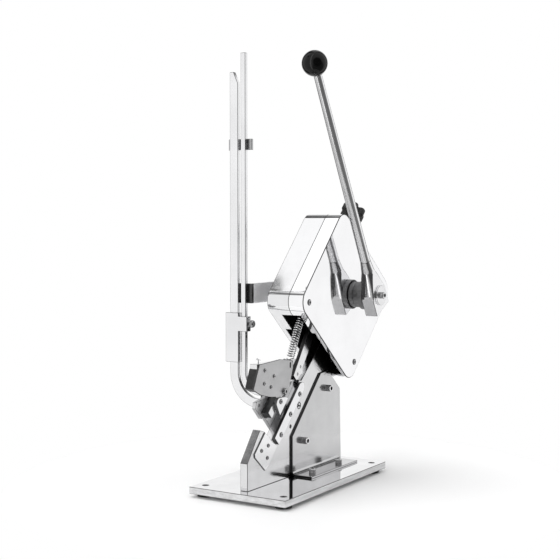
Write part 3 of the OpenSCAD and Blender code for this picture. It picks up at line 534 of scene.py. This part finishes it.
for node, finish in FINISH.items():
    obj = NODES[node]
    if not obj.data.materials:
        obj.data.materials.append(finish)
    for material_slot in obj.material_slots:
        material_slot.material = finish
    break_edges(obj, EDGE.get(node, EDGE_DEFAULT))

# ---- screws ----------------------------------------------------------------------------------

M5, M6 = 5 * MM, 6 * MM
BUTTON_HEAD = 1.4 * MM
BRACKET_SHEET = 3 * MM
NUT_FLATS, NUT_BORE = 10 * MM, 6.05 * MM

for node in ("die_cover_screws", "guide_strip_screws", "clip_cover_screw", "rocker_screws",
             "housing_screws", "driver_screws"):
    button_screws(node, BUTTON_HEAD)

# The two screws through both brackets, with their nuts on the far side
bm = bmesh.new()
bracket_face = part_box("jaw_plate")[1].x + BRACKET_SHEET
for lo, hi in islands("leg_screws"):
    y, z = (lo.y + hi.y) / 2, (lo.z + hi.z) / 2
    if hi.x > bracket_face:
        seat = standing((bracket_face, y, z), AXIS_X)
        cap_screw(bm, seat, M6, hi.x - bracket_face, bracket_face - lo.x)
    else:
        nut(bm, standing((lo.x, y, z), AXIS_X), NUT_FLATS, hi.x - lo.x, NUT_BORE)
piece("leg_screws_knurled", bm, FASTENER, "leg_screws")

bm = bmesh.new()
for lo, hi in islands("foot_screws"):
    seat = standing(((lo.x + hi.x) / 2, (lo.y + hi.y) / 2, hi.z - M6), AXIS_Z)
    cap_screw(bm, seat, M6, M6, hi.z - lo.z - M6)
piece("foot_screws_knurled", bm, FASTENER, "foot_screws")

lo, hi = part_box("lever_screw")
bm = bmesh.new()
seat = standing((hi.x - M6, (lo.y + hi.y) / 2, (lo.z + hi.z) / 2), AXIS_X)
cap_screw(bm, seat, M6, M6, hi.x - lo.x - M6)
piece("lever_screw_knurled", bm, FASTENER, "lever_screw")

# The arm's spacers, each a turned tube with a screw through it
spacer_r, spacer_rim, spacer_bore, chamfer = 6 * MM, 5.6 * MM, 2.55 * MM, 0.5 * MM
bm = bmesh.new()
arm_outer, arm_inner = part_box("rail_arm")[0].x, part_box("rail_arm")[1].x
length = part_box("housing_left")[0].x - arm_inner
screw_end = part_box("arm_standoffs")[1].x
z = centre_of("arm_standoffs").z
for y in sorted({round((lo.y + hi.y) / 2, 5) for lo, hi in islands("arm_standoffs")}):
    loft(bm, [(spacer_bore, 0), (spacer_rim, 0), (spacer_r, chamfer), (spacer_r, length - chamfer),
              (spacer_rim, length), (spacer_bore, length)],
         standing((arm_inner, y, z), AXIS_X), closed=True)
    cap_screw(bm, standing((arm_outer, y, z), (-1, 0, 0)), M5, M5, screw_end - arm_outer)
piece("arm_standoffs_turned", bm, FASTENER, "arm_standoffs")

# ---- turned parts ----------------------------------------------------------------------------

# The boss: a plug in the housing's wall, a narrow half, a groove and a wide half, round the shaft's bore
lo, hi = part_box("bearing_boss")
shaft_y, shaft_z = (lo.y + hi.y) / 2, (lo.z + hi.z) / 2
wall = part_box("housing_right")[1].x
bore, plug, wide = 8.05 * MM, 15 * MM, (hi.y - lo.y) / 2
narrow = wide - 3 * MM
groove = narrow - 1.2 * MM
inside, step, end = lo.x - wall, 8.5 * MM, hi.x - wall
bm = bmesh.new()
loft(bm, [(bore, inside), (plug, inside), (plug, 0), (narrow - 0.5 * MM, 0), (narrow, 0.5 * MM),
          (narrow, step - 1.2 * MM), (groove, step - 1.1 * MM), (groove, step), (wide - 0.6 * MM, step),
          (wide, step + 0.6 * MM), (wide, end - 0.8 * MM), (wide - 0.8 * MM, end), (bore, end)],
     standing((wall, shaft_y, shaft_z), AXIS_X), steps=96, closed=True, slots=((5, 1), (8, 0)))
# The groove's faces take the near black steel: painted shade in the groove
piece("bearing_boss_turned", bm, [BOSS, GROOVE_SHADE], "bearing_boss")

# The thumbscrew that fixes the follower: a shank and a head with a grip, hollowed at its end
lo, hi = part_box("follower_screw")
head_h, shank_r, rim_r = 5 * MM, 2.5 * MM, 5.2 * MM
grip = knurl(5.5 * MM, 0.45 * MM, 22)
seat_x = hi.x - head_h
tip = lo.x - seat_x
bm = bmesh.new()
loft(bm, [(2.2 * MM, tip), (shank_r, tip + 0.4 * MM), (shank_r, 0), (4.6 * MM, 0), (rim_r, 0.5 * MM),
          (grip, 0.8 * MM), (grip, 4.1 * MM), (rim_r, 4.5 * MM), (4.5 * MM, head_h), (2.1 * MM, head_h),
          (1.8 * MM, 4.7 * MM)],
     standing((seat_x, (lo.y + hi.y) / 2, (lo.z + hi.z) / 2), AXIS_X), steps=132, slots=((5, 1), (7, 2)))
piece("follower_screw_knurled", bm, FASTENER, "follower_screw")

# The feet, narrower below and bored for their screws
foot_bore = 4.5 * MM
bm = bmesh.new()
for lo, hi in islands("rubber_feet"):
    r, h = (hi.x - lo.x) / 2, hi.z - lo.z
    loft(bm, [(foot_bore, 0), (r - 1.6 * MM, 0), (r - 0.9 * MM, 0.4 * MM), (r - 0.5 * MM, h * 0.5), (r, h),
              (foot_bore, h)],
         standing(((lo.x + hi.x) / 2, (lo.y + hi.y) / 2, lo.z), AXIS_Z), closed=True)
piece("rubber_feet_moulded", bm, [RUBBER], "rubber_feet")

# ---- knobs -----------------------------------------------------------------------------------

# The ball, on the lever's axis, with a blind hole for the rod. The hole's rim and the lowest ring of the
# sphere lie these shares of the radius under its centre
LEVER_LEAN, LEVER_LENGTH = math.radians(28.8), 384.5 * MM
HOLE_RIM, LOWEST_RING, SPHERE_RINGS = 0.92, 0.935, 40
hole_r, hole_end = 6.1 * MM, -10 * MM
lo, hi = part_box("lever_knob")
ball_r = (hi.x - lo.x) / 2
lever_up = Vector((0, -math.sin(LEVER_LEAN), math.cos(LEVER_LEAN)))
ball = Vector(((lo.x + hi.x) / 2, shaft_y, shaft_z)) + lever_up * LEVER_LENGTH
bottom = -math.asin(LOWEST_RING)
rises = [bottom + (math.pi / 2 - bottom) * i / SPHERE_RINGS for i in range(SPHERE_RINGS)]
sphere = [(ball_r * math.cos(rise), ball_r * math.sin(rise)) for rise in rises]
bm = bmesh.new()
loft(bm, [(hole_r, hole_end), (hole_r, -ball_r * HOLE_RIM), *sphere, (0.2 * MM, ball_r)],
     standing(ball, lever_up), steps=96)
piece("lever_knob_turned", bm, [BALL], "lever_knob")

# The star knob: a hub with six lobes and a shallow dish on top
KNOB_HEIGHT, LOBE_R, LOBE_DEPTH, LOBE_ROUNDING = 19 * MM, 17 * MM, 3.4 * MM, 0.7 * MM


def lobes(inset):
    """The knob's outline, inset millimetres inside its widest one."""
    def radius(a):
        return LOBE_R - inset * MM + LOBE_DEPTH * math.cos(6 * a) - LOBE_ROUNDING * math.cos(12 * a)
    return radius


drive_up = Vector((0, 1, 1)).normalized()
knob_base = centre_of("adjuster_knob") - drive_up * KNOB_HEIGHT / 2
stud_hole, hub_r = 4.1 * MM, 9 * MM
bm = bmesh.new()
loft(bm, [(stud_hole, 4 * MM), (stud_hole, 0.3 * MM), (8.4 * MM, 0), (hub_r, 0.6 * MM), (hub_r, 4.4 * MM),
          (10 * MM, 5 * MM), (lobes(2.0), 5.2 * MM), (lobes(0.6), 5.9 * MM), (lobes(0), 7.4 * MM),
          (lobes(0), 16 * MM), (lobes(0.5), 17.6 * MM), (lobes(1.6), 18.6 * MM), (lobes(3.4), KNOB_HEIGHT),
          (hub_r, KNOB_HEIGHT), (8 * MM, 18.6 * MM), (4 * MM, 18.6 * MM)],
     standing(knob_base, drive_up), steps=144)
piece("adjuster_knob_moulded", bm, [STAR], "adjuster_knob")

# ---- housing ---------------------------------------------------------------------------------

# The broken edge round the side plate, in millimetres, and the share of it that other edges have
HOUSING_EDGE, LESSER_EDGE = 1.1, 0.45
# A screw hole's faces are smaller than this, and every other face that ends at the plate is larger
HOLE_FACE = 20 * MM * MM


def is_inner(face, plate_x, middle):
    """True for a face that looks into the housing: a face across X that lies behind the side plate and
    looks away from it, or any other that looks towards the middle."""
    centre = face.calc_center_median()
    if abs(face.normal.x) > 0.9:
        return abs(centre.x - plate_x) > 1 * MM and face.normal.x * plate_x < 0
    return face.normal.dot(middle - Vector((0, centre.y, centre.z))) > 0.02


def housing(node, sheet):
    """One sheet-metal half: a copy of the CAD shape with its inner faces painted near black as painted
    shade inside the housing, and rounded sheet edges, which are widest round the side plate."""
    bm = bmesh.new()
    bm.from_mesh(NODES[node].data)
    bmesh.ops.remove_doubles(bm, verts=bm.verts, dist=SAME_PLACE)
    bmesh.ops.dissolve_limit(bm, angle_limit=COPLANAR, verts=bm.verts, edges=bm.edges)
    lo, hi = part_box(node)
    middle = Vector((0, (lo.y + hi.y) / 2, (lo.z + hi.z) / 2))
    plate_x = hi.x if node == "housing_right" else lo.x
    for face in bm.faces:
        face.normal_update()
        # Inner faces take the near black steel: painted shade inside the housing
        face.material_index = 1 if is_inner(face, plate_x, middle) else 0
    weight = bm.edges.layers.float.new("bevel_weight_edge")
    for edge in bm.edges:
        if edge.calc_face_angle(0) > SHARP:
            on_plate = all(abs(v.co.x - plate_x) < 0.01 * MM for v in edge.verts)
            round_hole = min(face.calc_area() for face in edge.link_faces) < HOLE_FACE
            edge[weight] = 1.0 if on_plate and not round_hole else LESSER_EDGE
    obj = piece(node + "_sheet", bm, [sheet, INSIDE_SHADE], node)
    break_edges(obj, HOUSING_EDGE, "WEIGHT")


housing("housing_right", SHEET_RIGHT)
housing("housing_left", SHEET_LEFT_SHADED)

# ---- wire parts ------------------------------------------------------------------------------


def wire(name, points, radius, materials, node, rides=True):
    """A round wire through points, as a mesh."""
    curve = bpy.data.curves.new(name, "CURVE")
    curve.dimensions = "3D"
    curve.bevel_depth = radius
    curve.bevel_resolution = 3
    curve.use_fill_caps = True
    spline = curve.splines.new("POLY")
    spline.points.add(len(points) - 1)
    for i, p in enumerate(points):
        spline.points[i].co = (*p, 1)
    line = bpy.data.objects.new(name + "_line", curve)
    mesh = bpy.data.meshes.new_from_object(line)
    bpy.data.objects.remove(line)
    mesh.name = name
    mesh.materials.clear()
    return stand_in(name, mesh, materials, node, rides)


# The rocker's spring: a close coil with an open hook at each end
TURNS, STEPS = 17, 20
spring_wire, hook_r = 0.85 * MM, 3.3 * MM
post, hook = centre_of("spring_post"), centre_of("spring_hook")
lo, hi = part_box("rocker_spring")
spring_x = (lo.x + hi.x) / 2
coil_r = (hi.x - lo.x) / 2 - 0.9 * MM
# The spring's ends, on the rocker's post and on the housing's hook
low_end = Vector((spring_x, -11.1 * MM, 187.7 * MM))
high_end = Vector((spring_x, 21.0 * MM, 248.5 * MM))
axis = (high_end - low_end).normalized()
side = Vector(AXIS_X)
front = axis.cross(side)


def eye(centre, toward, turn):
    """Points of an open hook round a bar along X, ending towards the coil; turn is 1 or -1."""
    start = math.atan2(toward.z, toward.y)
    angles = [start + turn * math.radians(20 * i) for i in range(15, 0, -1)]
    return [Vector((spring_x, centre.y + hook_r * math.cos(a), centre.z + hook_r * math.sin(a)))
            for a in angles]


coil_low, coil_high = low_end + axis * 2 * MM, high_end - axis * 4 * MM
pitch = (coil_high - coil_low).length / TURNS
helix = []
for i in range(TURNS * STEPS + 1):
    a = 2 * math.pi * i / STEPS
    out = coil_r * (math.cos(a) * front + math.sin(a) * side)
    helix.append(coil_low + axis * pitch * i / STEPS + out)
lower = eye(post, coil_low - Vector((0, post.y, post.z)), -1)
upper = eye(hook, coil_high - Vector((0, hook.y, hook.z)), 1)
lead_in = coil_low - axis * 0.8 * MM + front * coil_r * 0.6
lead_out = coil_high + axis * 0.9 * MM + front * coil_r * 0.6
path = [*lower, lead_in, *helix, lead_out, *reversed(upper)]
spring = wire("rocker_spring_coil", path, spring_wire, [WIRE, GROOVE_SHADE], "rocker_spring", rides=False)
# Faces that look into the coil take the near black steel: painted shade between the turns
for face in spring.data.polygons:
    from_axis = face.center - coil_low
    from_axis -= axis * from_axis.dot(axis)
    face.material_index = 1 if face.normal.dot(from_axis.normalized()) < -0.1 else 0
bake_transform(spring)

# The bent wire catch on the pad: millimetres to the right of the pin and up, from its foot or its top
lo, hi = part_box("pad_pin")
pin_x, pin_y = (lo.x + hi.x) / 2, (lo.y + hi.y) / 2
foot = [(0, 0), (0, 3)]
crook = [(0.1, -3), (-0.6, -1.6), (-1.8, -0.9), (-2.8, -1.4), (-2.7, -2.6), (-1.2, -2.9), (0.9, -2.2),
         (2.4, -2.4), (3.2, -3.4)]
catch = [(pin_x + x * MM, pin_y, lo.z + z * MM) for x, z in foot] \
    + [(pin_x + x * MM, pin_y, hi.z + z * MM) for x, z in crook]
wire("pad_pin_wire", catch, 0.75 * MM, [WIRE], "pad_pin")

# ---- studio ----------------------------------------------------------------------------------

bpy.context.scene.view_settings.view_transform = "Standard"

# A pale disc to stand on; past its rim the white surround is seen
FLOOR_R, FLOOR_SIDES = 0.42, 72
corners = [2 * math.pi * i / FLOOR_SIDES for i in range(FLOOR_SIDES)]
floor_mesh = bpy.data.meshes.new("floor")
floor_mesh.from_pydata([(FLOOR_R * math.cos(a), FLOOR_R * math.sin(a), 0) for a in corners], [],
                       [range(FLOOR_SIDES)])
floor = bpy.data.objects.new("floor", floor_mesh)
bpy.context.scene.collection.objects.link(floor)
pale = Shader("pale_floor", Base_Color=(0.93, 0.93, 0.93, 1), Roughness=0.6)
floor_mesh.materials.append(pale.material)

world = bpy.data.worlds.new("studio")
bpy.context.scene.world = world
world.use_nodes = True
sky, sky_links = world.node_tree.nodes, world.node_tree.links
background = sky["Background"]
direction = sky.new("ShaderNodeTexCoord").outputs["Generated"]


def sky_lobe(towards, inner, outer, looking=direction):
    """1 within inner degrees of a direction, 0 beyond outer degrees."""
    dot = sky.new("ShaderNodeVectorMath")
    dot.operation = "DOT_PRODUCT"
    dot.inputs[1].default_value = Vector(towards).normalized()
    sky_links.new(looking, dot.inputs[0])
    fade = sky.new("ShaderNodeMapRange")
    fade.interpolation_type = "SMOOTHSTEP"
    fade.inputs["From Min"].default_value = math.cos(math.radians(outer))
    fade.inputs["From Max"].default_value = math.cos(math.radians(inner))
    sky_links.new(dot.outputs["Value"], fade.inputs["Value"])
    return fade.outputs["Result"]


def sky_strip(towards, inner, outer):
    """As sky_lobe, for an upright strip: only the bearing of the direction counts."""
    level_part = sky.new("ShaderNodeVectorMath")
    level_part.operation = "MULTIPLY"
    level_part.inputs[1].default_value = (1, 1, 0)
    sky_links.new(direction, level_part.inputs[0])
    bearing = sky.new("ShaderNodeVectorMath")
    bearing.operation = "NORMALIZE"
    sky_links.new(level_part.outputs[0], bearing.inputs[0])
    return sky_lobe((towards[0], towards[1], 0), inner, outer, bearing.outputs[0])


def sky_mix(factor, below, level):
    """The brightness that runs from below to level with factor."""
    made = sky.new("ShaderNodeMix")
    made.data_type = "FLOAT"
    sky_links.new(factor, made.inputs[0])
    if isinstance(below, bpy.types.NodeSocket):
        sky_links.new(below, made.inputs[2])
    else:
        made.inputs[2].default_value = below
    made.inputs[3].default_value = level
    return made.outputs[0]


def from_camera(right, up):
    """The direction, from the object, that is right degrees to the photographer's right and up degrees
    over the horizon."""
    bearing = math.radians(CAMERA_TURN - 90 + right)
    rise = math.radians(up)
    return (math.cos(rise) * math.cos(bearing), math.cos(rise) * math.sin(bearing), math.sin(rise))


# What stands in the white surround, each over the ones before it: the shape, its direction, the degrees
# to its full and to its last part, and its brightness
WHITE = 1.0
SURROUND = [
    # The dim floor to the right of the photographer, and the unlit side of the room over it
    (sky_lobe, from_camera(38, -35), 40, 58, 0.28),
    (sky_lobe, from_camera(22, 5), 30, 46, 0.09),
    # A tall strip light to the left of the camera
    (sky_strip, from_camera(-38, 0), 4, 7, 3.0),
    # Two upright dark flags behind the object, just outside the picture
    (sky_strip, (-0.950, 0.312, 0), 6, 14, 0.05),
    (sky_strip, (0.141, 0.990, 0), 5, 12, 0.05),
    # Two dark patches overhead, mirrored in the housing's rounded corners
    (sky_lobe, (-0.527, 0.45, 0.72), 7, 13, 0.12),
    (sky_lobe, (-0.527, -0.45, 0.72), 4, 9, 0.20),
    # Between them a lamp with a dark spot, mirrored in the housing's slanting front
    (sky_lobe, (-0.520, -0.07, 0.85), 6, 9, 1.22),
    (sky_lobe, (-0.544, -0.106, 0.833), 1.1, 1.3, 0.10),
]
level = WHITE
for shape, towards, inner, outer, brightness in SURROUND:
    level = sky_mix(shape(towards, inner, outer), level, brightness)
seen = sky.new("ShaderNodeLightPath").outputs["Is Camera Ray"]
sky_links.new(sky_mix(seen, level, WHITE), background.inputs["Strength"])
background.inputs["Color"].default_value = (1, 1, 1, 1)

# The soft light from above that casts the shadow; the polished faces do not mirror it
sun = bpy.data.objects.new("overhead_light", bpy.data.lights.new("overhead_light", "SUN"))
sun.data.energy = 1.05
sun.data.angle = math.radians(40)
sun.rotation_euler = Vector((-0.36, 0.0, 0.93)).to_track_quat("Z", "Y").to_euler()
sun.visible_glossy = False
bpy.context.scene.collection.objects.link(sun)
